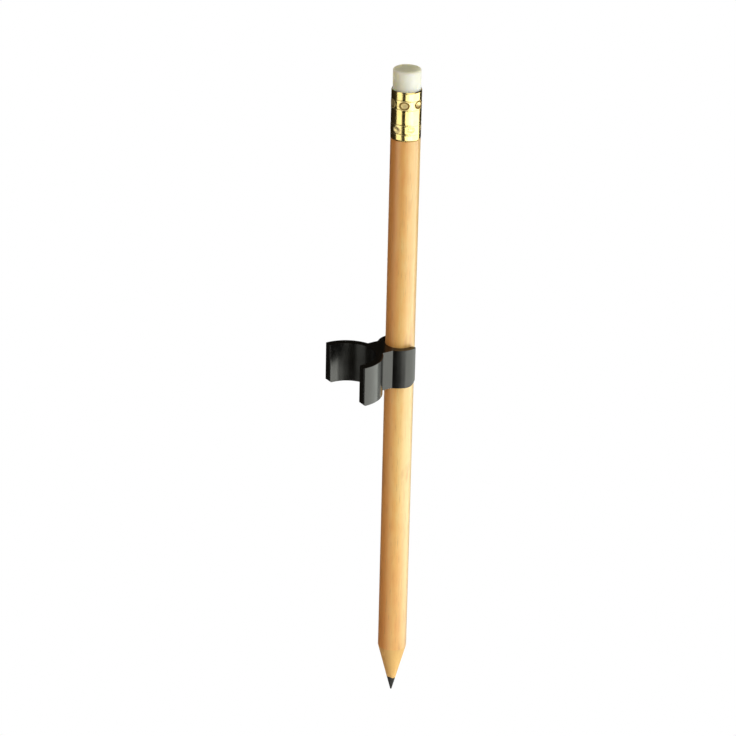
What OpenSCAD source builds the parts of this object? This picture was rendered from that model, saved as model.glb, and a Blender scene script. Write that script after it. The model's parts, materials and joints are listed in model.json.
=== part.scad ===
// Pencil holder for a round post: a moulded double-C snap clip and the round wooden pencil that it holds.
// The large jaw snaps onto an upright post, and the small grip holds the pencil with its point down.
// Origin on the post's axis at half the clip's height, +X from the post to the pencil, +Z up, in millimetres.

/* [Post jaw] */
// Diameter of the round post that the jaw snaps onto
post_d = 15; // [11:0.5:30]
// Wall of the jaw beside the web
jaw_wall = 1.95; // [1.2:0.05:3]
// How far the centre of the jaw's outer face lies behind the post's axis, which thickens the arms to their ends
jaw_set_back = 0.4; // [0:0.05:1]
// How far the square ends of the jaw reach past the post's axis
jaw_reach = 1.1; // [0.2:0.1:3]

/* [Web] */
// Solid thickness between the post's seat and the pencil's seat
web_l = 5.05; // [4:0.05:12]
// Width of the web across the clip
web_w = 7.6; // [5:0.1:9]
// Height of the whole clip
clip_h = 11.1; // [6:0.1:25]

/* [Pencil grip] */
// Radial clearance between the barrel and its seat
grip_gap = 0.05; // [0.02:0.01:0.1]
// Wall that the grip's outer face would have at the middle of its mouth
grip_wall = 1.2; // [0.8:0.05:2.5]
// How far the centre of the grip's outer face lies nearer the post, which thins the fingers to their tips
grip_set_back = 0.45; // [0:0.05:1]
// Half the angle of the grip's open mouth, seen from the pencil's axis
mouth_half_angle = 70; // [45:1:85]
// Rounding of the lower free corner of each finger
finger_corner_r = 2; // [0.5:0.1:3]

/* [Pencil] */
// Diameter of the round barrel
barrel_d = 8; // [7:0.1:11]
// Length of the barrel from the ferrule to the shoulder of the sharpened cone
barrel_l = 152.85; // [60:0.05:180]
// How far the shoulder of the cone hangs below the middle of the clip
shoulder_drop = 88.2; // [20:0.1:120]
// Length of the sharpened cone, with the graphite point
cone_l = 14.7; // [8:0.1:25]
// Diameter of the worn graphite tip
tip_d = 0.4; // [0.1:0.1:1]
// Diameter of the graphite core
lead_d = 2.6; // [1.8:0.1:4]
// Direction of the glued seam between the two slats
seam_turn = -32.7; // [-180:0.1:180]
// Radial gap that the glue or the crimping fills between pieces of the pencil
glue_gap = 0.02; // [0.01:0.01:0.05]

/* [Ferrule] */
// Length of the metal ferrule
ferrule_l = 13.5; // [9:0.1:20]
// Wall of the ferrule
ferrule_wall = 0.3; // [0.25:0.05:0.5]
// How far the ferrule stands proud of the barrel
ferrule_step = 0.05; // [0:0.01:0.2]
// Length of the barrel's turned-down end inside the ferrule
tenon_l = 6.5; // [3:0.1:8]
// Height of the lower row of crimped dimples above the ferrule's lower rim
lower_row = 3.1; // [2.3:0.05:3.5]
// Height of the upper row of crimped dimples above the ferrule's lower rim
upper_row = 9.85; // [5.7:0.05:10.5]
// Dimples in each row
dimples = 6; // [4:1:8]
// Depth of a dimple
dimple_depth = 0.18; // [0.05:0.01:0.2]
// Radius of the rounded punch that presses a dimple
punch_r = 2; // [1:0.1:3]
// Direction of the first dimple of the upper row
dimple_turn = -130.7; // [-180:0.1:180]
// Distance of the two rolled rings from a row of dimples
ring_offset = 1.25; // [1:0.05:1.5]
// Width of a rolled ring
ring_w = 0.4; // [0.2:0.05:0.6]
// Depth of a rolled ring
ring_depth = 0.08; // [0.03:0.01:0.15]

/* [Eraser] */
// Height of the eraser above the ferrule
eraser_show = 5.55; // [2:0.05:12]
// Rounding of the eraser's top edge
eraser_edge_r = 0.6; // [0.2:0.1:1.5]

/* [Hidden] */
$fn = 96;

// Colours
clip_black = "#1c1c1d";
wood_front = "#d9a766";
wood_rear = "#d2a060";
graphite = "#4a4a4c";
brass = "#d8b04c";
eraser_white = "#e8e6df";

// The post's seat and the jaw around it, seen from above
post_r = post_d / 2;
jaw_outer_r = post_r + jaw_wall + jaw_set_back;
jaw_outer_x = -jaw_set_back;
jaw_end_x = -jaw_reach;

// The pencil's seat and the grip around it, seen from above
barrel_r = barrel_d / 2;
seat_r = barrel_r + grip_gap;
pencil_x = post_r + web_l + seat_r;
grip_outer_r = seat_r + grip_wall + grip_set_back;
grip_outer_x = pencil_x - grip_set_back;

// Roots of the springing arms: the inner corners where the web's sides meet the jaw and the grip
web_half = web_w / 2;
jaw_root = [jaw_outer_x + sqrt(jaw_outer_r ^ 2 - web_half ^ 2), -web_half];
finger_root = [grip_outer_x - sqrt(grip_outer_r ^ 2 - web_half ^ 2), -web_half];

// Heights along the pencil
shoulder_z = -shoulder_drop;
tip_z = shoulder_z - cone_l;
ferrule_z = shoulder_z + barrel_l;
tenon_top_z = ferrule_z + tenon_l;
ferrule_top_z = ferrule_z + ferrule_l;
eraser_z = tenon_top_z + glue_gap;
eraser_top_z = ferrule_top_z + eraser_show;

// Radii along the pencil
tip_r = tip_d / 2;
lead_r = lead_d / 2;
groove_r = lead_r + glue_gap;
ferrule_r = barrel_r + ferrule_step;
ferrule_bore_r = ferrule_r - ferrule_wall;
tenon_r = ferrule_bore_r - glue_gap;
eraser_r = ferrule_bore_r - glue_gap;

// Height on the sharpened cone at which it has the given radius
function cone_z(r) = tip_z + cone_l * (r - tip_r) / (barrel_r - tip_r);

// The same outline point on the other side of the clip
function across(p) = [p[0], -p[1]];

// A point at a given distance and angle from the pencil's axis, seen from above
function around_pencil(r, angle) = [pencil_x + r * cos(angle), r * sin(angle)];

// An outline seen from above, raised to the clip's height
module clip_height() {
    translate([0, 0, -clip_h / 2])
        linear_extrude(clip_h)
            children();
}

module post_disc(r, x = 0) {
    translate([x, 0])
        circle(r);
}

// One arm of the jaw, on the -Y side, from its root beside the web to its square end
module jaw_arm() {
    far = 2 * jaw_outer_r;
    clip_height()
        intersection() {
            difference() {
                post_disc(jaw_outer_r, jaw_outer_x);
                post_disc(post_r);
            }
            polygon([[0, 0], 2 * jaw_root, [2 * jaw_root[0], -far], [jaw_end_x, -far], [jaw_end_x, 0]]);
        }
}

// What is cut from a finger's lower free corner, lying along the tip's face.
// The arc is a little wider than its square, so that it meets both faces at a slight angle.
module finger_corner_cut() {
    arc_r = 1.02 * finger_corner_r;
    room = 1;
    reach = 2 * grip_outer_r;
    translate([pencil_x, 0, 0])
        rotate([0, 0, -mouth_half_angle])
            translate([0, 0, -clip_h / 2])
                rotate([90, 0, 90])
                    linear_extrude(reach)
                        difference() {
                            translate([-finger_corner_r, -room])
                                square([finger_corner_r + room, finger_corner_r + room]);
                            translate([-finger_corner_r, finger_corner_r])
                                circle(arc_r);
                        }
}

// One finger of the grip, on the -Y side, from its root beside the web to its free tip
module grip_finger() {
    root_angle = atan2(finger_root[1], finger_root[0] - pencil_x);
    far = 3 * grip_outer_r;
    difference() {
        clip_height()
            intersection() {
                difference() {
                    post_disc(grip_outer_r, grip_outer_x);
                    post_disc(seat_r, pencil_x);
                }
                polygon([[pencil_x, 0], around_pencil(far, root_angle), around_pencil(far, -mouth_half_angle)]);
            }
        finger_corner_cut();
    }
}

// The stiff middle of the moulding, between the roots of its four springing arms
module clip_bridge() {
    color(clip_black)
        clip_height()
            difference() {
                polygon([[0, 0], jaw_root, finger_root, [pencil_x, 0], across(finger_root), across(jaw_root)]);
                post_disc(post_r);
                post_disc(seat_r, pencil_x);
            }
}

module post_jaw_front() {
    color(clip_black)
        jaw_arm();
}

module post_jaw_rear() {
    color(clip_black)
        mirror([0, 1, 0])
            jaw_arm();
}

module pencil_finger_front() {
    color(clip_black)
        grip_finger();
}

module pencil_finger_rear() {
    color(clip_black)
        mirror([0, 1, 0])
            grip_finger();
}

// One of the two grooved slats that are glued around the graphite, with its share of the cone and tenon
module slat() {
    rotate_extrude(angle = 180)
        polygon([
            [groove_r, cone_z(groove_r)],
            [barrel_r, shoulder_z],
            [barrel_r, ferrule_z],
            [tenon_r, ferrule_z],
            [tenon_r, tenon_top_z],
            [groove_r, tenon_top_z]
        ]);
}

module barrel_slat_front() {
    color(wood_front)
        translate([pencil_x, 0, 0])
            rotate([0, 0, seam_turn + 180])
                slat();
}

module barrel_slat_rear() {
    color(wood_rear)
        translate([pencil_x, 0, 0])
            rotate([0, 0, seam_turn])
                slat();
}

module graphite_core() {
    color(graphite)
        translate([pencil_x, 0, 0])
            rotate_extrude()
                polygon([
                    [0, tip_z],
                    [tip_r, tip_z],
                    [lead_r, cone_z(lead_r)],
                    [lead_r, tenon_top_z],
                    [0, tenon_top_z]
                ]);
}

// A ring rolled into the ferrule's outside, as three points of its outline at a height above the lower rim
function rolled_ring(h) = [
    [ferrule_r, ferrule_z + h - ring_w / 2],
    [ferrule_r - ring_depth, ferrule_z + h],
    [ferrule_r, ferrule_z + h + ring_w / 2]
];

// A row of dimples pressed by a rounded punch
module dimple_row(h, turn) {
    for (i = [0 : dimples - 1])
        rotate([0, 0, turn + i * 360 / dimples])
            translate([ferrule_r - dimple_depth + punch_r, 0, ferrule_z + h])
                sphere(punch_r);
}

module ferrule() {
    color(brass)
        translate([pencil_x, 0, 0])
            difference() {
                rotate_extrude()
                    polygon(concat(
                        [[ferrule_bore_r, ferrule_z], [ferrule_r, ferrule_z]],
                        rolled_ring(lower_row - ring_offset),
                        rolled_ring(lower_row + ring_offset),
                        rolled_ring(upper_row - ring_offset),
                        rolled_ring(upper_row + ring_offset),
                        [[ferrule_r, ferrule_top_z], [ferrule_bore_r, ferrule_top_z]]
                    ));
                dimple_row(upper_row, dimple_turn);
                dimple_row(lower_row, dimple_turn + 180 / dimples);
            }
}

module eraser() {
    edge_x = eraser_r - eraser_edge_r;
    edge_z = eraser_top_z - eraser_edge_r;
    color(eraser_white)
        translate([pencil_x, 0, 0])
            rotate_extrude()
                polygon(concat(
                    [[0, eraser_z], [eraser_r, eraser_z]],
                    [for (a = [0 : 15 : 90]) [edge_x + eraser_edge_r * cos(a), edge_z + eraser_edge_r * sin(a)]],
                    [[0, eraser_top_z]]
                ));
}

clip_bridge();
post_jaw_front();
post_jaw_rear();
pencil_finger_front();
pencil_finger_rear();
barrel_slat_front();
barrel_slat_rear();
graphite_core();
ferrule();
eraser();
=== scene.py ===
import json
import math

import bpy
from mathutils import Matrix, Vector, noise


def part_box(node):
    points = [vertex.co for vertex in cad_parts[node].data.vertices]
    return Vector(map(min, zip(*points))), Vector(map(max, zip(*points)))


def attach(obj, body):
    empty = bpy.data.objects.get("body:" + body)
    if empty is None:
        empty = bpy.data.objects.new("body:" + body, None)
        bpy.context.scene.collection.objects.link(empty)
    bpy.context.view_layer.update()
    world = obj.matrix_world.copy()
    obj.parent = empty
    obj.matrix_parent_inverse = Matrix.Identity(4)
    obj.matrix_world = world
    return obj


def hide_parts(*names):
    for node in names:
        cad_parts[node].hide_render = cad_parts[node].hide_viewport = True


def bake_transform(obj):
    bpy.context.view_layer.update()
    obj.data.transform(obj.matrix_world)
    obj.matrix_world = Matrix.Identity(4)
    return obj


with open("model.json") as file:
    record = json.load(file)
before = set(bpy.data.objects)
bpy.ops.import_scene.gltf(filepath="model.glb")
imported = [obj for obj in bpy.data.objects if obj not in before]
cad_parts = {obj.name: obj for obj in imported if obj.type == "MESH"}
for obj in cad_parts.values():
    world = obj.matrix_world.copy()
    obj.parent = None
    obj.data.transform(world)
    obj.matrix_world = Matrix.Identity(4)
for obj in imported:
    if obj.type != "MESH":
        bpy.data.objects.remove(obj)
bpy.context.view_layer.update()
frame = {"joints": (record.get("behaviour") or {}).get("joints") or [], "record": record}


# The clip is one injection moulding of glossy black plastic: an open C that snaps onto the post, a smaller
# one for the pencil, and a short web between them, all of one height with softened rims.
# It is made whole and then divided at the roots of its four springing arms.
MM = 0.001
PENCIL_SEAT_R = 4.05 * MM
MOUTH_HALF_ANGLE = math.radians(70)
CLIP_RIM = 0.45 * MM
CLIP_RIM_SEGMENTS = 4
CLIP_RIM_ANGLE = math.radians(70)
CLIP_END_ROUND = 0.45 * MM
FINGER_CORNER = 3.0 * MM
JAW_CORNER = 0.9 * MM
JAW_BEND = 6.0 * MM
FINGER_BEND = 4.0 * MM
ARM_STEPS = 96
END_STEPS = 6
BRIDGE_STEPS = 48
WELD = 0.001 * MM
CLIP_SMOOTH = math.radians(35)
CLIP_BLACK = (0.002, 0.002, 0.0021)
CLIP_WORN = (0.005, 0.005, 0.0052)
CLIP_SHEEN = (1.0, 0.955, 0.93, 1)
CLIP_IOR = 1.56
CLIP_ROUGHNESS = (0.19, 0.27)
CLIP_WEAR_SCALE = (260, 260, 180)
CLIP_POLISH_SCALE = (420, 420, 300)
CLIP_SKIN_SCALE = (2600, 2600, 2600)
CLIP_SKIN_STRENGTH = 0.06
CLIP_SKIN_DEPTH = 0.02 * MM

hinges = {joint["name"]: Vector(joint["pos_m"]).to_2d() for joint in frame["joints"] if "pos_m" in joint}
jaw_root = hinges["front_jaw_flex"]
finger_root = hinges["front_finger_flex"]
clip_low, clip_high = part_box("clip_bridge")
clip_height = clip_high.z - clip_low.z
core_low, core_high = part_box("graphite_core")
post_axis = Vector((0, 0))
pencil_axis = ((core_low + core_high) / 2).to_2d()
post_seat_r = frame["record"]["mounts"][0]["dims"]["r_mm"] * MM
jaw_low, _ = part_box("post_jaw_front")
jaw_outer_r = -jaw_low.y
jaw_centre = Vector((jaw_root.x - math.sqrt(jaw_outer_r ** 2 - jaw_root.y ** 2), 0))
finger_low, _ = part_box("pencil_finger_front")
grip_outer_r = -finger_low.y
grip_centre = Vector((finger_root.x + math.sqrt(grip_outer_r ** 2 - finger_root.y ** 2), 0))


def toward(angle):
    """Unit vector in plan at an angle from +X."""
    return Vector((math.cos(angle), math.sin(angle)))


def bearing(point, centre):
    """Angle from +X of a plan point, seen from a centre."""
    return math.atan2(point.y - centre.y, point.x - centre.x)


def ray_meets_circle(origin, along, centre, radius):
    """The far point where a ray in plan leaves a circle."""
    offset = origin - centre
    reach = offset.dot(along)
    return origin + along * (math.sqrt(reach ** 2 - offset.length_squared + radius ** 2) - reach)


def arc_between(centre, radius, start, stop, steps):
    """Plan points along a circle from one angle to another, both ends included."""
    return [centre + radius * toward(start + (stop - start) * i / steps) for i in range(steps + 1)]


def arm_stations(root, seat_centre, seat_r, outer_centre, outer_r, end_origin, end_out, end_back):
    """Pairs of inner and outer plan points along an arm, from its root to its free end.
    The last few pairs draw together, which rounds the upright corners of the end."""
    inner_root = seat_centre + seat_r * (root - seat_centre).normalized()
    straight_end = end_origin + end_back * CLIP_END_ROUND
    inner_stop = ray_meets_circle(straight_end, end_out, seat_centre, seat_r)
    outer_stop = ray_meets_circle(straight_end, end_out, outer_centre, outer_r)
    inner = arc_between(
        seat_centre, seat_r, bearing(inner_root, seat_centre), bearing(inner_stop, seat_centre), ARM_STEPS)
    outer = arc_between(
        outer_centre, outer_r, bearing(root, outer_centre), bearing(outer_stop, outer_centre), ARM_STEPS)
    for step in range(1, END_STEPS + 1):
        turn = math.pi / 2 * step / END_STEPS
        origin = end_origin + end_back * CLIP_END_ROUND * (1 - math.sin(turn))
        draw_in = CLIP_END_ROUND * (1 - math.cos(turn))
        inner.append(ray_meets_circle(origin, end_out, seat_centre, seat_r + draw_in))
        outer.append(ray_meets_circle(origin, end_out, outer_centre, outer_r - draw_in))
    return list(zip(inner, outer))


def across(stations):
    """The same stations on the other side of the clip."""
    return [tuple(Vector((p.x, -p.y)) for p in pair) for pair in stations]


def select_only(*pieces):
    bpy.ops.object.select_all(action="DESELECT")
    for piece in pieces:
        piece.select_set(True)
    bpy.context.view_layer.objects.active = pieces[0]


def apply_modifier(piece, kind, **settings):
    select_only(piece)
    modifier = piece.modifiers.new(kind.lower(), kind)
    for name, value in settings.items():
        setattr(modifier, name, value)
    bpy.ops.object.modifier_apply(modifier=modifier.name)


def shade_smooth(piece, angle):
    """Shades a piece smooth, apart from the edges that turn by more than an angle."""
    select_only(piece)
    bpy.ops.object.shade_smooth_by_angle(angle=angle)


def ribbon(stations):
    """A flat strip of faces in plan, laid through pairs of points."""
    steps = len(stations) - 1
    bpy.ops.object.select_all(action="DESELECT")
    bpy.ops.mesh.primitive_grid_add(x_subdivisions=steps, y_subdivisions=1, size=1)
    piece = bpy.context.object
    for vertex in piece.data.vertices:
        pair = stations[round((vertex.co.x + 0.5) * steps)]
        vertex.co = pair[0 if vertex.co.y < 0 else 1].to_3d()
    return piece


jaw_end = Vector((jaw_low.x, 0))
jaw_stations = arm_stations(
    jaw_root, post_axis, post_seat_r, jaw_centre, jaw_outer_r, jaw_end, Vector((0, -1)), Vector((1, 0)))
tip_out = toward(-MOUTH_HALF_ANGLE)
tip_back = Vector((tip_out.y, -tip_out.x))
finger_stations = arm_stations(
    finger_root, pencil_axis, PENCIL_SEAT_R, grip_centre, grip_outer_r, pencil_axis, tip_out, tip_back)
jaw_root_angle = bearing(jaw_root, post_axis)
finger_root_angle = bearing(finger_root, pencil_axis) + math.tau
web_stations = list(zip(
    arc_between(post_axis, post_seat_r, jaw_root_angle, -jaw_root_angle, BRIDGE_STEPS),
    arc_between(
        pencil_axis, PENCIL_SEAT_R, finger_root_angle, math.tau - finger_root_angle, BRIDGE_STEPS)))
web_side = [(jaw_root, finger_root)]
bridge_stations = web_side + web_stations + across(web_side)

strips = [ribbon(stations) for stations in (
    bridge_stations, jaw_stations, across(jaw_stations), finger_stations, across(finger_stations))]
clip = strips[0]
select_only(*strips)
bpy.ops.object.join()
bpy.ops.object.mode_set(mode="EDIT")
bpy.ops.mesh.select_all(action="SELECT")
bpy.ops.mesh.remove_doubles(threshold=WELD)
bpy.ops.mesh.normals_make_consistent(inside=False)
bpy.ops.object.mode_set(mode="OBJECT")
apply_modifier(clip, "SOLIDIFY", thickness=clip_height, offset=0)
for vertex in clip.data.vertices:
    place = Vector((vertex.co.x, -abs(vertex.co.y)))
    from_end, corner = place.x - jaw_end.x, JAW_CORNER
    if place.x > finger_root.x and (place - pencil_axis).dot(tip_out) > 0:
        from_end, corner = (place - pencil_axis).dot(tip_back), FINGER_CORNER
    if vertex.co.z < 0 and from_end < corner:
        vertex.co.z = clip_low.z + corner - math.sqrt(max(corner ** 2 - (corner - from_end) ** 2, 0))
apply_modifier(
    clip, "BEVEL", width=CLIP_RIM, segments=CLIP_RIM_SEGMENTS, limit_method="ANGLE",
    angle_limit=CLIP_RIM_ANGLE, loop_slide=False)


def split_off(piece, name, chosen):
    """Separates the faces that are marked as chosen into a piece of their own."""
    select_only(piece)
    bpy.ops.object.mode_set(mode="EDIT")
    bpy.ops.mesh.select_mode(type="FACE")
    bpy.ops.mesh.select_all(action="DESELECT")
    bpy.ops.object.mode_set(mode="OBJECT")
    for face, is_chosen in zip(piece.data.polygons, chosen):
        face.select = is_chosen
    bpy.ops.object.mode_set(mode="EDIT")
    bpy.ops.mesh.separate(type="SELECTED")
    bpy.ops.object.mode_set(mode="OBJECT")
    new_piece = next(o for o in bpy.context.selected_objects if o != piece)
    new_piece.name = name
    return new_piece


def close_and_smooth(piece):
    """Closes a piece where it was divided, and shades it smooth between its softened rims."""
    select_only(piece)
    bpy.ops.object.mode_set(mode="EDIT")
    bpy.ops.mesh.select_all(action="SELECT")
    bpy.ops.mesh.fill_holes(sides=0)
    bpy.ops.mesh.select_all(action="SELECT")
    bpy.ops.mesh.normals_make_consistent(inside=False)
    bpy.ops.object.mode_set(mode="OBJECT")
    shade_smooth(piece, CLIP_SMOOTH)
    apply_modifier(piece, "WEIGHTED_NORMAL", keep_sharp=True)


web_middle = (jaw_root.x + finger_root.x) / 2


def is_past_root(place, side, root, curl, along):
    """Whether a plan point lies in an arm's own quarter of the clip and beyond its root."""
    own_quarter = place.y * side > 0 and (place.x - web_middle) * curl > 0
    return own_quarter and (place - root).dot(along) > 0


# Each arm has its node and body, its side, its root, the axis that it curls round, on which side of the web
# it lies, and how far its bend spreads.
ARMS = (
    ("post_jaw_front", "front_jaw", -1, jaw_root, post_axis, -1, JAW_BEND),
    ("post_jaw_rear", "rear_jaw", 1, jaw_root, post_axis, -1, JAW_BEND),
    ("pencil_finger_front", "front_finger", -1, finger_root, pencil_axis, 1, FINGER_BEND),
    ("pencil_finger_rear", "rear_finger", 1, finger_root, pencil_axis, 1, FINGER_BEND),
)
clip_pieces = []
for node_name, body, side, root, axis, curl, bend in ARMS:
    side_root = Vector((root.x, side * abs(root.y)))
    outward = (side_root - axis).normalized()
    along = -side * curl * Vector((-outward.y, outward.x))
    arm_faces = [
        is_past_root(face.center.to_2d(), side, side_root, curl, along) for face in clip.data.polygons]
    arm = split_off(clip, node_name + "_moulding", arm_faces)
    close_and_smooth(arm)
    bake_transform(arm)
    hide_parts(node_name)
    clip_pieces.append(arm)
clip.name = "clip_bridge_moulding"
close_and_smooth(clip)
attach(clip, "clip")
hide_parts("clip_bridge")
clip_pieces.append(clip)


def feed(tree, socket, value):
    """Fills a socket with a value or with another node's output."""
    if isinstance(value, bpy.types.NodeSocket):
        tree.links.new(value, socket)
    else:
        socket.default_value = value


def set_inputs(tree, node, **inputs):
    """Fills a node's sockets by name, with underscores for spaces."""
    for name, value in inputs.items():
        feed(tree, node.inputs[name.replace("_", " ")], value)


def add_node(tree, kind, settings=None, **inputs):
    """Adds a shader node, sets it and fills its sockets."""
    made = tree.nodes.new(kind)
    for name, value in (settings or {}).items():
        setattr(made, name, value)
    set_inputs(tree, made, **inputs)
    return made


def colour_ramp(tree, factor, *stops):
    """Colour along a ramp of (position, colour) stops."""
    ramp = add_node(tree, "ShaderNodeValToRGB", Fac=factor)
    elements = ramp.color_ramp.elements
    while len(elements) < len(stops):
        elements.new(0.5)
    for element, (position, colour) in zip(elements, stops):
        element.position = position
        element.color = (*colour, 1)
    return ramp.outputs["Color"]


def relief(tree, height, strength, depth):
    """Surface normals of a fine relief."""
    bump = add_node(tree, "ShaderNodeBump", Strength=strength, Distance=depth, Height=height)
    return bump.outputs["Normal"]


def new_group(name, inputs, outputs):
    """An empty shader node group with named float or vector sockets."""
    group = bpy.data.node_groups.new(name, "ShaderNodeTree")
    for label, kind in inputs:
        group.interface.new_socket(label, in_out="INPUT", socket_type=kind)
    for label, kind in outputs:
        group.interface.new_socket(label, in_out="OUTPUT", socket_type=kind)
    return group, group.nodes.new("NodeGroupInput"), group.nodes.new("NodeGroupOutput")


# Soft mottling is the uneven gloss and tone that handling and moulding leave on every finish here.
# Its stretch is how many patches there are in a metre along each axis.
MOTTLE_ROUGHNESS = 0.55
MOTTLE_NOISE_LOW = 0.3
MOTTLE_NOISE_HIGH = 0.7
mottle_group, mottle_in, mottle_out = new_group(
    "soft_mottle",
    [("Place", "NodeSocketVector"), ("Stretch", "NodeSocketVector"), ("Detail", "NodeSocketFloat"),
     ("Low", "NodeSocketFloat"), ("High", "NodeSocketFloat")],
    [("Value", "NodeSocketFloat")])
mottle_map = add_node(
    mottle_group, "ShaderNodeMapping", Vector=mottle_in.outputs["Place"],
    Scale=mottle_in.outputs["Stretch"])
mottle_noise = add_node(
    mottle_group, "ShaderNodeTexNoise", Vector=mottle_map.outputs["Vector"], Scale=1.0,
    Detail=mottle_in.outputs["Detail"], Roughness=MOTTLE_ROUGHNESS)
mottle_range = add_node(
    mottle_group, "ShaderNodeMapRange", Value=mottle_noise.outputs["Fac"], From_Min=MOTTLE_NOISE_LOW,
    From_Max=MOTTLE_NOISE_HIGH, To_Min=mottle_in.outputs["Low"], To_Max=mottle_in.outputs["High"])
mottle_group.links.new(mottle_range.outputs["Result"], mottle_out.inputs["Value"])


def mottle(tree, place, stretch, low=0, high=1, detail=3.0):
    made = add_node(
        tree, "ShaderNodeGroup", {"node_tree": mottle_group},
        Place=place, Stretch=stretch, Detail=detail, Low=low, High=high)
    return made.outputs["Value"]


def new_finish(name):
    """A material with its Principled shader and Object coordinates."""
    material = bpy.data.materials.new(name)
    material.use_nodes = True
    tree = material.node_tree
    shader = tree.nodes["Principled BSDF"]
    place = add_node(tree, "ShaderNodeTexCoord").outputs["Object"]
    return material, tree, shader, place


def dress(piece, material):
    piece.data.materials.clear()
    piece.data.materials.append(material)


clip_plastic, tree, shader, place = new_finish("clip_black_plastic")
wear = mottle(tree, place, CLIP_WEAR_SCALE)
moulding_skin = mottle(tree, place, CLIP_SKIN_SCALE)
set_inputs(
    tree, shader,
    Base_Color=colour_ramp(tree, wear, (0, CLIP_BLACK), (1, CLIP_WORN)),
    Roughness=mottle(tree, place, CLIP_POLISH_SCALE, *CLIP_ROUGHNESS),
    Normal=relief(tree, moulding_skin, CLIP_SKIN_STRENGTH, CLIP_SKIN_DEPTH),
    IOR=CLIP_IOR,
    Specular_Tint=CLIP_SHEEN)
for piece in clip_pieces:
    dress(piece, clip_plastic)


# The barrel is two grooved slats of straight-grained wood, glued round the core and turned round. Its side
# is lacquered. It is redder on the camera's left with painted shade, paler on its right with painted light,
# and paler along its middle with a band of painted light. The sharpened cone is bare, with fine cutter
# marks, and the upper end is turned down to fit in the ferrule.
BARREL_R = 4.0 * MM
LEAD_R = 1.3 * MM
GLUE_GAP = 0.02 * MM
TENON_R = 3.73 * MM
TENON_CHAMFER = 0.2 * MM
TIP_R = 0.2 * MM
SHOULDER_DROP = 88.2 * MM
SHOULDER_EASE_R = 0.02 * MM
SHOULDER_EASE_BELOW = 0.05 * MM
SHOULDER_EASE_ABOVE = 0.06 * MM
FERRULE_STOP_R = 0.12 * MM
FERRULE_STOP_LENGTH = 0.15 * MM
GROOVE_START = 1.5 * MM
SEAM_TURN = math.radians(-32.7)
LEAD_OFFSET = 0.1 * MM
LEAD_OFFSET_TURN = SEAM_TURN + math.pi
CORE_EDGE_RIPPLES = ((0.025 * MM, 5, 1), (0.015 * MM, 11, 0))
CONE_ROWS = 24
CONE_NEAR = 0.01 * MM
SLAT_STEPS = 72
SPIN_WELD = 0.0001 * MM
SLAT_SMOOTH = math.radians(12)
WOOD_PALE = (0.745, 0.503, 0.198)
WOOD_MID = (0.745, 0.410, 0.123)
WOOD_DARK = (0.70, 0.305, 0.082)
WOOD_RAMP = ((0.04, WOOD_PALE), (0.44, WOOD_MID), (0.84, WOOD_DARK))
GRAIN_LEAN = (0.006, -0.009)
LAYER_SCALE = 150.0
LAYER_WANDER = 5
LAYER_WANDER_SCALE = (170, 170, 9)
LAYER_SHARE = 0.18
FIBRE_SCALE = (5200, 5200, 95)
FIBRE_DETAIL = 4.0
FIBRE_SHARE = 0.28
CLOUD_SCALE = (420, 420, 26)
CLOUD_SHARE = 0.16
FIGURE_SCALE = (480, 480, 210)
FIGURE_SHARE = 0.26
# Painted light: a paler band along the barrel's middle; below it the wood darkens towards its lower end.
MIDDLE_PAINTED_LIGHT = 0.26
MIDDLE_PAINTED_LIGHT_Z = (-80 * MM, -30 * MM, 45 * MM)
DEEPER_END = 0.14
# Painted shade draws the wood redder on the camera's left of the barrel; painted light pales its right.
WOOD_LEFT_PAINTED_SHADE = (0.71, 0.245, 0.055)
LEFT_PAINTED_SHADE_REACH = (-0.05 * BARREL_R, -0.65 * BARREL_R)
LEFT_PAINTED_SHADE_SHARE = 0.6
WOOD_RIGHT_PAINTED_LIGHT = (0.67, 0.51, 0.25)
RIGHT_PAINTED_LIGHT_REACH = (0.2 * BARREL_R, 0.8 * BARREL_R)
RIGHT_PAINTED_LIGHT_SHARE = 0.5
WOOD_STAIN = (0.50, 0.20, 0.055)
STAIN_SCALE = (340, 340, 75)
STAIN_RANGE = (0.7, 1.0)
STAIN_SHARE = 0.5
WOOD_PORE = (0.40, 0.21, 0.08)
PORE_SCALE = (5200, 5200, 210)
PORE_DETAIL = 1.0
PORE_RANGE = (0.86, 1.0)
PORE_SHARE = 0.45
WOOD_BARE = (0.66, 0.455, 0.195)
BARE_SHARE = 0.55
BARE_ROUGHNESS = 0.72
LACQUER_EDGE = 0.1 * MM
LACQUER_WEIGHT = 0.9
LACQUER_ROUGHNESS = 0.3
LACQUERED_ROUGHNESS = 0.5
WOOD_SPECULAR = 0.2
CUTTER_SCALE = 700.0
CUTTER_WAVER = 2.0
CUTTER_DETAIL = 2.0
CUTTER_SHARE = 0.5
WOOD_RELIEF_STRENGTH = 0.16
WOOD_RELIEF_DEPTH = 0.03 * MM

ferrule_low, ferrule_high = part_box("ferrule")
_, slat_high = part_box("barrel_slat_front")
shoulder_z = -SHOULDER_DROP
tip_z = core_low.z
tenon_top_z = slat_high.z
cone_slope = (shoulder_z - tip_z) / (BARREL_R - TIP_R)


def cone_height(radius):
    """Height on the sharpened cone at which it has a given radius."""
    return tip_z + (radius - TIP_R) * cone_slope


def cone_point(radius, angle):
    """Point on the sharpened cone at a radius and an angle about its axis."""
    return Vector((radius * math.cos(angle), radius * math.sin(angle), cone_height(radius)))


def core_edge_r(angle):
    """Radius at which the cone passes from wood to graphite, since the core lies a little off centre."""
    ripple = sum(depth * math.sin(waves * angle + start) for depth, waves, start in CORE_EDGE_RIPPLES)
    return LEAD_R + LEAD_OFFSET * math.cos(angle - LEAD_OFFSET_TURN) + ripple


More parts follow.
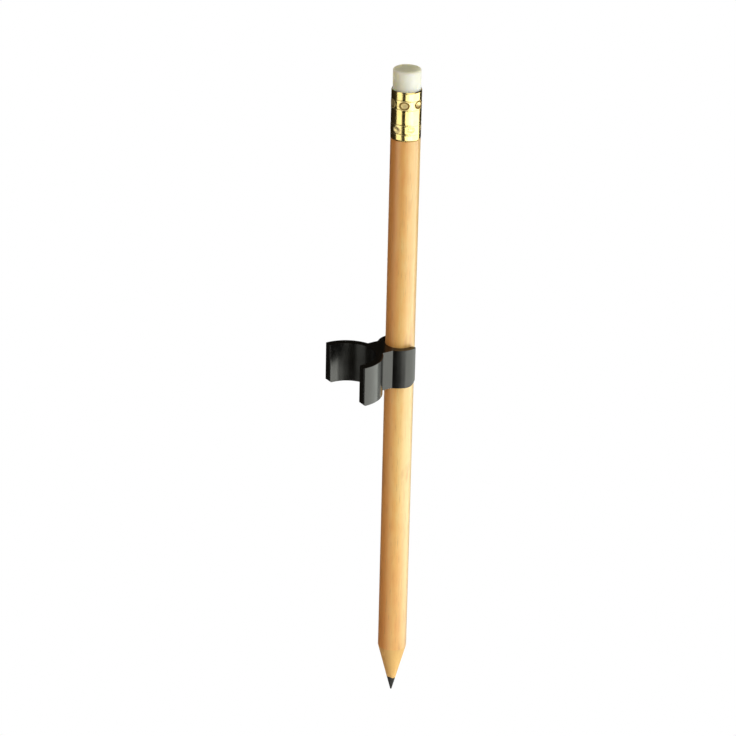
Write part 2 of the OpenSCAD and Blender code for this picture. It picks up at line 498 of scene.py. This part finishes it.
def trace(name, outline, filled):
    """A line of (radius, height) points in the XZ plane, closed with one face where that is asked."""
    points = [Vector((radius, 0, height)) for radius, height in outline]
    bpy.ops.object.select_all(action="DESELECT")
    bpy.ops.mesh.primitive_plane_add(size=MM)
    piece = bpy.context.object
    piece.name = name
    bpy.ops.object.mode_set(mode="EDIT")
    bpy.ops.mesh.select_mode(type="VERT")
    bpy.ops.mesh.select_all(action="SELECT")
    bpy.ops.mesh.merge(type="CENTER")
    bpy.ops.transform.translate(value=points[0])
    for here, there in zip(points, points[1:]):
        bpy.ops.mesh.extrude_region_move(TRANSFORM_OT_translate={"value": there - here})
    if filled:
        bpy.ops.mesh.select_all(action="SELECT")
        bpy.ops.mesh.edge_face_add()
    bpy.ops.object.mode_set(mode="OBJECT")
    return piece


def turn_solid(piece, steps, angle):
    """Spins a traced line or face about Z into a solid, anticlockwise from above."""
    select_only(piece)
    bpy.ops.object.mode_set(mode="EDIT")
    bpy.ops.mesh.select_all(action="SELECT")
    bpy.ops.mesh.spin(steps=steps, angle=-angle, center=(0, 0, 0), axis=(0, 0, 1))
    bpy.ops.mesh.select_all(action="SELECT")
    bpy.ops.mesh.remove_doubles(threshold=SPIN_WELD)
    bpy.ops.mesh.normals_make_consistent(inside=False)
    bpy.ops.object.mode_set(mode="OBJECT")


def place_on_pencil(piece, turn=0.0):
    """Puts a piece that was turned about Z onto the pencil's axis, with its place in its mesh."""
    piece.data.transform(Matrix.Translation(pencil_axis.to_3d()) @ Matrix.Rotation(turn, 4, "Z"))


groove_r = LEAD_R + GLUE_GAP
cone_radii = [LEAD_R + (BARREL_R - LEAD_R) * i / CONE_ROWS for i in range(CONE_ROWS)]
slat_outline = [(radius, cone_height(radius)) for radius in cone_radii]
slat_outline += [
    (BARREL_R - SHOULDER_EASE_R, shoulder_z - SHOULDER_EASE_BELOW),
    (BARREL_R, shoulder_z + SHOULDER_EASE_ABOVE),
    (BARREL_R, ferrule_low.z - FERRULE_STOP_LENGTH),
    (BARREL_R - FERRULE_STOP_R, ferrule_low.z),
    (TENON_R, ferrule_low.z),
    (TENON_R, tenon_top_z - TENON_CHAMFER),
    (TENON_R - TENON_CHAMFER, tenon_top_z),
    (groove_r, tenon_top_z),
    (groove_r, cone_height(groove_r) + GROOVE_START)]


def weighted(tree, *parts):
    """Sum of (value, share) pairs, each value times its share."""
    total = 0.0
    for value, share in parts:
        step = add_node(tree, "ShaderNodeMath", {"operation": "MULTIPLY_ADD"})
        for socket, term in zip(step.inputs, (value, share, total)):
            feed(tree, socket, term)
        total = step.outputs[0]
    return total


def tint(tree, colour, mask, toward_colour):
    """A colour drawn towards another one where a mask is high."""
    mixed = add_node(tree, "ShaderNodeMix", {"data_type": "RGBA"}, Factor=mask)
    sockets = {socket.identifier: socket for socket in (*mixed.inputs, *mixed.outputs)}
    tree.links.new(colour, sockets["A_Color"])
    sockets["B_Color"].default_value = (*toward_colour, 1)
    return sockets["Result_Color"]


def ramp_value(tree, value, from_low, from_high, low, high):
    """A value moved from one range to another and held inside it."""
    made = add_node(
        tree, "ShaderNodeMapRange", Value=value, From_Min=from_low, From_Max=from_high,
        To_Min=low, To_Max=high)
    return made.outputs["Result"]


def cutter_marks(tree, place, scale, waver):
    """Fine rings round the pencil, as a sharpener's blade leaves them."""
    made = add_node(
        tree, "ShaderNodeTexWave", {"wave_type": "BANDS", "bands_direction": "Z"},
        Vector=place, Scale=scale, Distortion=waver, Detail=CUTTER_DETAIL)
    return made.outputs["Fac"]


def make_wood(name, log_place, log_turn):
    """Lacquered barrel wood, cut from its own place in the log so that no two slats match."""
    material, tree, shader, place = new_finish(name)
    in_log = add_node(
        tree, "ShaderNodeMapping", Vector=place, Location=log_place - pencil_axis.to_3d(),
        Rotation=(*GRAIN_LEAN, log_turn)).outputs["Vector"]
    wander = mottle(tree, in_log, LAYER_WANDER_SCALE, -LAYER_WANDER, LAYER_WANDER)
    layers = add_node(
        tree, "ShaderNodeTexWave", {"wave_type": "BANDS", "bands_direction": "Y", "wave_profile": "SIN"},
        Vector=in_log, Scale=LAYER_SCALE, Distortion=0.0, Phase_Offset=wander).outputs["Fac"]
    fibres = mottle(tree, in_log, FIBRE_SCALE, detail=FIBRE_DETAIL)
    cloud = mottle(tree, in_log, CLOUD_SCALE)
    figure = mottle(tree, in_log, FIGURE_SCALE)
    on_pencil = add_node(
        tree, "ShaderNodeMapping", {"vector_type": "TEXTURE"}, Vector=place, Location=pencil_axis.to_3d(),
        Rotation=(0, 0, SEAM_TURN)).outputs["Vector"]
    across_barrel, _, height = add_node(tree, "ShaderNodeSeparateXYZ", Vector=on_pencil).outputs
    # A band of painted light, and darker wood towards the lower end.
    below, middle, above = MIDDLE_PAINTED_LIGHT_Z
    middle_painted_light = ramp_value(tree, height, middle, above, -MIDDLE_PAINTED_LIGHT, 0)
    deeper = ramp_value(tree, height, below, middle, MIDDLE_PAINTED_LIGHT + DEEPER_END, 0)
    grain = weighted(
        tree, (layers, LAYER_SHARE), (fibres, FIBRE_SHARE), (cloud, CLOUD_SHARE), (figure, FIGURE_SHARE),
        (middle_painted_light, 1), (deeper, 1))
    wood = colour_ramp(tree, grain, *WOOD_RAMP)
    # Painted shade on the camera's left of the barrel, then painted light on its right.
    wood = tint(tree, wood, ramp_value(tree, across_barrel, *LEFT_PAINTED_SHADE_REACH, 0, LEFT_PAINTED_SHADE_SHARE), WOOD_LEFT_PAINTED_SHADE)
    wood = tint(tree, wood, ramp_value(tree, across_barrel, *RIGHT_PAINTED_LIGHT_REACH, 0, RIGHT_PAINTED_LIGHT_SHARE), WOOD_RIGHT_PAINTED_LIGHT)
    stains = mottle(tree, in_log, STAIN_SCALE)
    wood = tint(tree, wood, ramp_value(tree, stains, *STAIN_RANGE, 0, STAIN_SHARE), WOOD_STAIN)
    pores = mottle(tree, in_log, PORE_SCALE, detail=PORE_DETAIL)
    wood = tint(tree, wood, ramp_value(tree, pores, *PORE_RANGE, 0, PORE_SHARE), WOOD_PORE)
    lacquer = ramp_value(tree, height, shoulder_z - LACQUER_EDGE, shoulder_z + LACQUER_EDGE, 0, 1)
    wood = tint(tree, wood, ramp_value(tree, lacquer, 0, 1, BARE_SHARE, 0), WOOD_BARE)
    cutter = cutter_marks(tree, place, CUTTER_SCALE, CUTTER_WAVER)
    cutter_share = ramp_value(tree, lacquer, 0, 1, CUTTER_SHARE, 0)
    surface = weighted(tree, (cutter, cutter_share), (fibres, 1))
    set_inputs(
        tree, shader,
        Base_Color=wood,
        Roughness=ramp_value(tree, lacquer, 0, 1, BARE_ROUGHNESS, LACQUERED_ROUGHNESS),
        Specular_IOR_Level=WOOD_SPECULAR,
        Coat_Weight=ramp_value(tree, lacquer, 0, 1, 0, LACQUER_WEIGHT),
        Coat_Roughness=LACQUER_ROUGHNESS,
        Normal=relief(tree, surface, WOOD_RELIEF_STRENGTH, WOOD_RELIEF_DEPTH))
    return material


# Each slat has its half turn about the pencil, and its place and its turn in the log.
SLATS = (
    ("barrel_slat_front", math.pi, Vector((0, 0, 0)), 0.4),
    ("barrel_slat_rear", 0.0, Vector((21.0, 7.77, 65.1)) * MM, 1.03),
)
for node_name, turn, log_place, log_turn in SLATS:
    slat = trace(node_name + "_wood", slat_outline, filled=True)
    turn_solid(slat, SLAT_STEPS, math.pi)
    for vertex in slat.data.vertices:
        radius = math.hypot(vertex.co.x, vertex.co.y)
        if vertex.co.z < cone_height(LEAD_R) + CONE_NEAR and radius < LEAD_R + CONE_NEAR:
            angle = math.atan2(vertex.co.y, vertex.co.x)
            vertex.co = cone_point(core_edge_r(angle + turn + SEAM_TURN), angle)
    place_on_pencil(slat, turn + SEAM_TURN)
    shade_smooth(slat, SLAT_SMOOTH)
    dress(slat, make_wood(node_name + "_grain", log_place, log_turn))
    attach(slat, "pencil")
    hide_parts(node_name)


# The core is a fired stick of graphite and clay that runs the length of the barrel, glued in its groove.
# The sharpener has cut its end to the same cone as the wood, and use has blunted the tip.
TIP_ROUND = 0.12 * MM
TIP_ROUND_STEPS = 5
CORE_ROWS = 14
CORE_STEPS = 96
CORE_SMOOTH = math.radians(30)
GRAPHITE_DARK = (0.028, 0.028, 0.030)
GRAPHITE_PALE = (0.055, 0.055, 0.058)
GRAPHITE_METALLIC = 0.35
GRAPHITE_ROUGHNESS = (0.34, 0.5)
GRAPHITE_STREAK_SCALE = (900, 900, 2600)
GRAPHITE_POLISH_SCALE = (1500, 1500, 3500)
GRAPHITE_CUTTER_SCALE = 900.0
GRAPHITE_CUTTER_WAVER = 1.5
GRAPHITE_RELIEF_STRENGTH = 0.2
GRAPHITE_RELIEF_DEPTH = 0.02 * MM

tip_turns = [math.pi / 2 * i / TIP_ROUND_STEPS for i in range(1, TIP_ROUND_STEPS + 1)]
core_radii = [TIP_R + (LEAD_R - TIP_R) * i / CORE_ROWS for i in range(1, CORE_ROWS + 1)]
core_outline = [(0, tip_z)]
core_outline += [(TIP_R * math.sin(turn), tip_z + TIP_ROUND * (1 - math.cos(turn))) for turn in tip_turns]
core_outline += [(radius, cone_height(radius)) for radius in core_radii]
core_outline += [(LEAD_R, core_high.z), (0, core_high.z)]
core = trace("graphite_core_stick", core_outline, filled=False)
turn_solid(core, CORE_STEPS, math.tau)
for vertex in core.data.vertices:
    radius = math.hypot(vertex.co.x, vertex.co.y)
    if vertex.co.z < cone_height(LEAD_R) + CONE_NEAR and radius > TIP_R:
        angle = math.atan2(vertex.co.y, vertex.co.x)
        share = (radius - TIP_R) / (LEAD_R - TIP_R)
        vertex.co = cone_point(TIP_R + share * (core_edge_r(angle) - TIP_R), angle)
place_on_pencil(core)
shade_smooth(core, CORE_SMOOTH)

graphite, tree, shader, place = new_finish("sharpened_graphite")
streak = mottle(tree, place, GRAPHITE_STREAK_SCALE)
cutter = cutter_marks(tree, place, GRAPHITE_CUTTER_SCALE, GRAPHITE_CUTTER_WAVER)
set_inputs(
    tree, shader,
    Base_Color=colour_ramp(tree, streak, (0, GRAPHITE_DARK), (1, GRAPHITE_PALE)),
    Metallic=GRAPHITE_METALLIC,
    Roughness=mottle(tree, place, GRAPHITE_POLISH_SCALE, *GRAPHITE_ROUGHNESS),
    Normal=relief(tree, cutter, GRAPHITE_RELIEF_STRENGTH, GRAPHITE_RELIEF_DEPTH))
dress(core, graphite)
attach(core, "pencil")
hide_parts("graphite_core")


# The ferrule is a drawn sleeve of thin, bright, brass-coloured sheet. Two pairs of rings are rolled into it,
# and two rows of oval dimples are crimped through it, deep ones into the eraser and shallow ones into the
# wood, where the punch was stopped sooner.
FERRULE_WALL = 0.3 * MM
LOWER_ROW = 3.1 * MM
UPPER_ROW = 9.85 * MM
RING_OFFSET = 1.25 * MM
RING_DEPTH = 0.03 * MM
RING_SPREAD = 0.16 * MM
RING_DULL = 0.15
DIMPLES = 6
DIMPLE_TURN = math.radians(-130.7)
PUNCH_R = 2.5 * MM
UPPER_DEPTH = 0.3 * MM
LOWER_DEPTH = 0.15 * MM
LOWER_STAGGER = 0.5
DIMPLE_DULL_AND_PAINTED_HIGHLIGHT = 0.45
DIMPLE_FLATNESS = 1.25
DIMPLE_LIP = 0.03 * MM
DIMPLE_LIP_SPREAD = 0.2 * MM
PAINTED_CREASE_SHADE_SPREAD = 0.34 * MM
RIM_CURL = 0.12 * MM
RIM_CURL_LENGTH = 0.35 * MM
FERRULE_SIDES = 288
FERRULE_CUTS = 119
FERRULE_SMOOTH = math.radians(40)
# The dimples' middles are painted paler, a painted highlight; their creases are painted dark, painted shade.
BRASS_BRIGHT = (0.83, 0.62, 0.24)
BRASS_PAINTED_HIGHLIGHT = (0.97, 0.75, 0.38)
BRASS_PAINTED_CREASE_SHADE = (0.23, 0.12, 0.008)
BRASS_ROUGHNESS = (0.16, 0.24)
BRASS_POLISH_SCALE = (900, 900, 250)
CRIMP_ROUGHNESS = 0.7
PATINA = (-0.08, 0.14)
PATINA_SCALE = (700, 700, 500)
SHEET_SCALE = (1600, 1600, 500)
SHEET_RELIEF_STRENGTH = 0.05
SHEET_RELIEF_DEPTH = 0.02 * MM

ferrule_r = (ferrule_high.x - ferrule_low.x) / 2
ferrule_length = ferrule_high.z - ferrule_low.z
bpy.ops.object.select_all(action="DESELECT")
bpy.ops.mesh.primitive_cylinder_add(
    vertices=FERRULE_SIDES, radius=ferrule_r, depth=ferrule_length, end_fill_type="NOTHING")
ferrule = bpy.context.object
ferrule.name = "ferrule_sleeve"
bpy.ops.object.mode_set(mode="EDIT")
bpy.ops.mesh.select_mode(type="EDGE")
bpy.ops.mesh.select_all(action="DESELECT")
bpy.ops.object.mode_set(mode="OBJECT")
for edge in ferrule.data.edges:
    low_end, high_end = (ferrule.data.vertices[i].co for i in edge.vertices)
    edge.select = abs(low_end.z - high_end.z) > ferrule_length / 2
bpy.ops.object.mode_set(mode="EDIT")
bpy.ops.mesh.subdivide(number_cuts=FERRULE_CUTS)
bpy.ops.object.mode_set(mode="OBJECT")

dimple_places = [
    (DIMPLE_TURN + math.tau * (i + stagger) / DIMPLES, row, depth)
    for row, stagger, depth in ((UPPER_ROW, 0, UPPER_DEPTH), (LOWER_ROW, LOWER_STAGGER, LOWER_DEPTH))
    for i in range(DIMPLES)]
ring_heights = [row + offset for row in (LOWER_ROW, UPPER_ROW) for offset in (-RING_OFFSET, RING_OFFSET)]


def hump(distance, spread):
    """A smooth hump that is 1 at no distance and fades out over a spread."""
    return math.exp(-(distance / spread) ** 2)


def pressed_in(angle, height):
    """How far the sleeve's wall lies inside its plain cylinder, and from 0 to 1 how dulled it is and how
    far its colour is painted, towards a painted highlight in a dimple and a painted shade in its crease.
    """
    inward = 0.0
    dulled_and_painted = 0.0
    # The rolled rings are dulled a little and drawn a little way towards the dimples' paler colour.
    for ring in ring_heights:
        groove = hump(height - ring, RING_SPREAD)
        inward += RING_DEPTH * groove
        dulled_and_painted = max(dulled_and_painted, RING_DULL * groove)
    for turn, row, depth in dimple_places:
        dimple_r = math.sqrt(PUNCH_R ** 2 - (PUNCH_R - depth) ** 2)
        share = depth / UPPER_DEPTH
        sideways = ferrule_r * math.remainder(angle - turn, math.tau)
        distance = math.hypot(sideways, DIMPLE_FLATNESS * (height - row))
        inward -= share * DIMPLE_LIP * hump(distance - dimple_r, DIMPLE_LIP_SPREAD)
        # Inside a dimple the brass is dulled and painted paler in colour: a painted highlight.
        if distance < dimple_r:
            inward += math.sqrt(PUNCH_R ** 2 - distance ** 2) - PUNCH_R + depth
            dulled_and_painted = max(dulled_and_painted, share * DIMPLE_DULL_AND_PAINTED_HIGHLIGHT)
        # The crease round a dimple is painted dark: painted shade.
        dulled_and_painted = max(dulled_and_painted, share * hump(distance - dimple_r, PAINTED_CREASE_SHADE_SPREAD))
    for from_rim in (height, ferrule_length - height):
        if from_rim < RIM_CURL_LENGTH:
            inward += RIM_CURL * (1 - from_rim / RIM_CURL_LENGTH) ** 2
    return inward, dulled_and_painted


# This attribute carries the real dulling together with the dimples' painted highlight and painted shade.
crimp_dulling_and_painted_light = ferrule.data.attributes.new("crimp_dulling_and_painted_light", "FLOAT", "POINT")
crimp_dulling_and_painted_light_values = []
for vertex in ferrule.data.vertices:
    angle = math.atan2(vertex.co.y, vertex.co.x)
    height = vertex.co.z + ferrule_length / 2
    inward, dulled_and_painted = pressed_in(angle, height)
    vertex.co = ((ferrule_r - inward) * toward(angle)).to_3d()
    vertex.co.z = ferrule_low.z + height
    crimp_dulling_and_painted_light_values.append(dulled_and_painted)
crimp_dulling_and_painted_light.data.foreach_set("value", crimp_dulling_and_painted_light_values)
apply_modifier(ferrule, "SOLIDIFY", thickness=FERRULE_WALL, offset=-1)
place_on_pencil(ferrule)
shade_smooth(ferrule, FERRULE_SMOOTH)

brass, tree, shader, place = new_finish("ferrule_brass")
dimple_dulling_and_paint = add_node(tree, "ShaderNodeAttribute", {"attribute_name": "crimp_dulling_and_painted_light"}).outputs["Fac"]
# Painted highlight and painted shade of the dimples, added to random patina.
patina_and_painted_dimple_light = weighted(tree, (dimple_dulling_and_paint, 1), (mottle(tree, place, PATINA_SCALE, *PATINA), 1))
polish = mottle(tree, place, BRASS_POLISH_SCALE, *BRASS_ROUGHNESS)
sheet = mottle(tree, place, SHEET_SCALE)
set_inputs(
    tree, shader,
    Base_Color=colour_ramp(
        tree, patina_and_painted_dimple_light, (0, BRASS_BRIGHT), (DIMPLE_DULL_AND_PAINTED_HIGHLIGHT, BRASS_PAINTED_HIGHLIGHT), (1, BRASS_PAINTED_CREASE_SHADE)),
    Metallic=1.0,
    Roughness=weighted(tree, (dimple_dulling_and_paint, CRIMP_ROUGHNESS), (polish, 1)),
    Normal=relief(tree, sheet, SHEET_RELIEF_STRENGTH, SHEET_RELIEF_DEPTH))
dress(ferrule, brass)
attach(ferrule, "pencil")
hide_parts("ferrule")


# The eraser is a plug cut from an extruded stick of off-white rubber, pushed into the ferrule and held by
# its upper dimples. Its top edge is softened by the tumbling that such plugs get, its skin is slightly
# uneven, and its top is darkened with painted shade.
ERASER_EDGE = 0.6 * MM
ERASER_EDGE_STEPS = 7
ERASER_SIDE_START = 1.0 * MM
ERASER_SIDE_ROWS = 14
ERASER_TOP_ROWS = 12
ERASER_STEPS = 96
ERASER_SMOOTH = math.radians(40)
ERASER_UNEVEN = 0.035 * MM
ERASER_WAVE = 450.0
ERASER_SEED = 7
ERASER_WHITE = (0.795, 0.82, 0.82)
ERASER_SHADE = (0.715, 0.74, 0.69)
ERASER_SHADE_SCALE = (300, 300, 300)
# Painted shade darkens the eraser's top, in uneven patches.
ERASER_TOP_PAINTED_SHADE = (0.575, 0.64, 0.605)
TOP_PAINTED_SHADE_DEPTH = 0.3 * MM
TOP_PAINTED_SHADE_SHARE = (0.7, 1)
TOP_PAINTED_SHADE_SCALE = (700, 700, 700)
RUBBER_ROUGHNESS = (0.6, 0.8)
RUBBER_ROUGHNESS_SCALE = (800, 800, 800)
RUBBER_SCATTER = 0.9
RUBBER_SCATTER_RADIUS = (1.0, 0.9, 0.6)
RUBBER_SCATTER_SCALE = 6.0 * MM
RUBBER_SKIN_SCALE = (3200, 3200, 3200)
RUBBER_SKIN_DETAIL = 4.0
RUBBER_SKIN_STRENGTH = 0.25
RUBBER_SKIN_DEPTH = 0.03 * MM

eraser_low, eraser_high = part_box("eraser")
eraser_r = (eraser_high.x - eraser_low.x) / 2
eraser_top_z = eraser_high.z - ERASER_UNEVEN
edge_r = eraser_r - ERASER_EDGE
edge_z = eraser_top_z - ERASER_EDGE
side_z = ferrule_high.z - ERASER_SIDE_START
edge_turns = [math.pi / 2 * i / ERASER_EDGE_STEPS for i in range(ERASER_EDGE_STEPS + 1)]
eraser_outline = [(0, eraser_low.z), (eraser_r, eraser_low.z)]
eraser_outline += [
    (eraser_r, side_z + (edge_z - side_z) * i / ERASER_SIDE_ROWS) for i in range(ERASER_SIDE_ROWS)]
eraser_outline += [
    (edge_r + ERASER_EDGE * math.cos(turn), edge_z + ERASER_EDGE * math.sin(turn)) for turn in edge_turns]
eraser_outline += [
    (edge_r * (1 - i / ERASER_TOP_ROWS), eraser_top_z) for i in range(1, ERASER_TOP_ROWS + 1)]
eraser = trace("eraser_plug", eraser_outline, filled=False)
turn_solid(eraser, ERASER_STEPS, math.tau)
noise.seed_set(ERASER_SEED)
for vertex in eraser.data.vertices:
    if vertex.co.z > ferrule_high.z:
        vertex.co += noise.noise_vector(vertex.co * ERASER_WAVE) * ERASER_UNEVEN
place_on_pencil(eraser)
shade_smooth(eraser, ERASER_SMOOTH)

rubber, tree, shader, place = new_finish("eraser_rubber")
white = colour_ramp(
    tree, mottle(tree, place, ERASER_SHADE_SCALE), (0, ERASER_WHITE), (1, ERASER_SHADE))
height = add_node(tree, "ShaderNodeSeparateXYZ", Vector=place).outputs["Z"]
# Painted shade on the top, fading out over a short depth below it.
top_shade_mottle = mottle(tree, place, TOP_PAINTED_SHADE_SCALE, *TOP_PAINTED_SHADE_SHARE)
painted_top_shade = ramp_value(tree, height, eraser_top_z - TOP_PAINTED_SHADE_DEPTH, eraser_top_z, 0, top_shade_mottle)
rubber_skin = mottle(tree, place, RUBBER_SKIN_SCALE, detail=RUBBER_SKIN_DETAIL)
set_inputs(
    tree, shader,
    Base_Color=tint(tree, white, painted_top_shade, ERASER_TOP_PAINTED_SHADE),
    Roughness=mottle(tree, place, RUBBER_ROUGHNESS_SCALE, *RUBBER_ROUGHNESS),
    Subsurface_Weight=RUBBER_SCATTER,
    Subsurface_Radius=RUBBER_SCATTER_RADIUS,
    Subsurface_Scale=RUBBER_SCATTER_SCALE,
    Normal=relief(tree, rubber_skin, RUBBER_SKIN_STRENGTH, RUBBER_SKIN_DEPTH))
dress(eraser, rubber)
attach(eraser, "pencil")
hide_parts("eraser")


# The studio has a pale floor well below the point, wide low softboxes on the right, dim light all round, and
# dark cloth round the set, which only polished surfaces see. Glows on the left, on the right and near the
# floor break the cloth's dark reflection.
CAMERA_AZIMUTH = math.radians(-32.7)
CAMERA_ELEVATION = math.radians(24.5)
CAMERA_DISTANCE = 0.798
CAMERA_ROLL = math.radians(1.256)
CAMERA_SENSOR = 36
CAMERA_LENS = 145.17
CAMERA_NEAR = 0.01
AIM_RIGHT = 5.44 * MM
AIM_UP = 1.75 * MM
FLOOR_DROP = 0.35
FLOOR_SIZE = 14.0
FLOOR_PALE = (0.80, 0.80, 0.79, 1)
BACKGROUND_WHITE = (1, 1, 1)
AMBIENT = 0.35
AMBIENT_WARM = (1.0, 0.75, 0.46)
CLOTH_RADIUS = 1.6
CLOTH_SIDES = 72
CLOTH_LOW = -0.43
CLOTH_HIGH = 2.2
CLOTH_DARK = (0.05, 0.05, 0.05, 1)
SOFTBOX_TINT = (0.94, 1.0, 0.93)
GRID_SPREAD = math.radians(14)
GRID_DROP = 34 * MM

back = Vector((
    math.sin(CAMERA_AZIMUTH) * math.cos(CAMERA_ELEVATION),
    -math.cos(CAMERA_AZIMUTH) * math.cos(CAMERA_ELEVATION),
    math.sin(CAMERA_ELEVATION)))
right = Vector((math.cos(CAMERA_AZIMUTH), math.sin(CAMERA_AZIMUTH), 0))
up = back.cross(right)
frame_right = right * math.cos(CAMERA_ROLL) + up * math.sin(CAMERA_ROLL)
frame_up = back.cross(frame_right)
aim = right * AIM_RIGHT + Vector((0, 0, AIM_UP))
camera_data = bpy.data.cameras.new("photo_camera")
camera_data.sensor_width = CAMERA_SENSOR
camera_data.lens = CAMERA_LENS
camera_data.clip_start = CAMERA_NEAR
camera = bpy.data.objects.new("photo_camera", camera_data)
bpy.context.scene.collection.objects.link(camera)
camera.matrix_world = Matrix.Translation(aim + back * CAMERA_DISTANCE) @ Matrix(
    (frame_right, frame_up, back)).transposed().to_4x4()
bpy.context.scene.camera = camera


def seen_as_background(tree):
    """1 for rays that see the background: straight on, in a reflection or through glass."""
    path = add_node(tree, "ShaderNodeLightPath")
    seen = path.outputs["Is Camera Ray"]
    for ray in ("Is Glossy Ray", "Is Transmission Ray"):
        either_ray = add_node(tree, "ShaderNodeMath", {"operation": "MAXIMUM"}, Value=seen)
        tree.links.new(path.outputs[ray], either_ray.inputs[1])
        seen = either_ray.outputs[0]
    return seen


bpy.ops.object.select_all(action="DESELECT")
bpy.ops.mesh.primitive_plane_add(size=FLOOR_SIZE, location=(0, 0, tip_z - FLOOR_DROP))
floor = bpy.context.object
floor.name = "studio_floor"
floor_paint = bpy.data.materials.new("studio_floor_white")
floor_paint.use_nodes = True
tree = floor_paint.node_tree
tree.nodes.remove(tree.nodes["Principled BSDF"])
matt = add_node(tree, "ShaderNodeBsdfDiffuse", Color=FLOOR_PALE)
plain_white = add_node(tree, "ShaderNodeEmission", Color=(*BACKGROUND_WHITE, 1), Strength=1.0)
either = add_node(tree, "ShaderNodeMixShader", Fac=seen_as_background(tree))
tree.links.new(matt.outputs[0], either.inputs[1])
tree.links.new(plain_white.outputs[0], either.inputs[2])
tree.links.new(either.outputs[0], tree.nodes["Material Output"].inputs["Surface"])
floor.data.materials.append(floor_paint)

bpy.ops.object.select_all(action="DESELECT")
bpy.ops.mesh.primitive_cylinder_add(
    vertices=CLOTH_SIDES, radius=CLOTH_RADIUS, depth=CLOTH_HIGH - CLOTH_LOW,
    location=(0, 0, (CLOTH_HIGH + CLOTH_LOW) / 2), end_fill_type="TRIFAN")
cloth = bpy.context.object
cloth.name = "studio_dark_cloth"
cloth_black = bpy.data.materials.new("studio_dark_cloth")
cloth_black.use_nodes = True
tree = cloth_black.node_tree
tree.nodes.remove(tree.nodes["Principled BSDF"])
cloth_pile = add_node(tree, "ShaderNodeBsdfDiffuse", Color=CLOTH_DARK)
tree.links.new(cloth_pile.outputs[0], tree.nodes["Material Output"].inputs["Surface"])
cloth.data.materials.append(cloth_black)
cloth.visible_camera = False
cloth.visible_diffuse = False
cloth.visible_shadow = False
cloth.visible_transmission = False

# Each lamp has its angles in degrees, right of the camera and above the level, its distance, width, height
# and brightness. A glow is seen in polished surfaces alone, and a fill isn't seen in them.
LAMPS = (
    ("side_softbox", 79, -28, 0.6, 0.78, 0.50, 3.2),
    ("side_softbox_edge", 33, -26, 0.6, 0.30, 0.50, 0.9),
    ("side_softbox_corner", 21.5, -13.6, 0.6, 0.57, 0.11, 1.7),
    ("side_softbox_rear", 130, -34, 0.6, 0.40, 0.24, 0.8),
    ("front_softbox", 32, 29, 0.8, 0.86, 0.86, 1.42),
    ("rear_softbox", 180, -14, 1.0, 0.40, 0.50, 2.2),
    ("left_glow", -53, -12, 1.1, 0.80, 2.80, 1.7),
    ("rear_fill", -145, 5, 1.0, 0.60, 0.60, 4.0),
    ("gridded_fill", -22, 0, 0.7, 0.10, 0.10, 0.16),
    ("floor_glow", -10, -60, 0.5, 0.60, 0.26, 1.5),
    ("corner_glow", 21.5, -13.6, 0.62, 0.59, 0.114, 1.4),
)
facing = math.atan2(back.y, back.x)
for name, turn, rise, distance, width, height, brightness in LAMPS:
    lamp_data = bpy.data.lights.new(name, "AREA")
    lamp_data.shape = "RECTANGLE"
    lamp_data.size = width
    lamp_data.size_y = height
    lamp_data.energy = brightness * math.pi * width * height
    lamp_data.color = SOFTBOX_TINT
    lamp = bpy.data.objects.new(name, lamp_data)
    bpy.context.scene.collection.objects.link(lamp)
    level_way = toward(facing + math.radians(turn)).to_3d()
    way = level_way * math.cos(math.radians(rise)) + Vector((0, 0, math.sin(math.radians(rise))))
    lamp.location = pencil_axis.to_3d() + way * distance
    lamp.rotation_euler = way.to_track_quat("Z", "Y").to_euler()
    lamp.visible_camera = False
    lamp.visible_diffuse = not name.endswith("_glow")
    lamp.visible_glossy = not name.endswith("_fill")
gridded_fill = bpy.data.objects["gridded_fill"]
gridded_fill.data.spread = GRID_SPREAD
gridded_fill.location.z -= GRID_DROP

world = bpy.data.worlds.new("studio_air")
world.use_nodes = True
bpy.context.scene.world = world
tree = world.node_tree
dim_light = tuple(AMBIENT * channel for channel in AMBIENT_WARM)
air_colour = colour_ramp(tree, seen_as_background(tree), (0, dim_light), (1, BACKGROUND_WHITE))
set_inputs(tree, tree.nodes["Background"], Color=air_colour)
bpy.context.scene.view_settings.view_transform = "Standard"
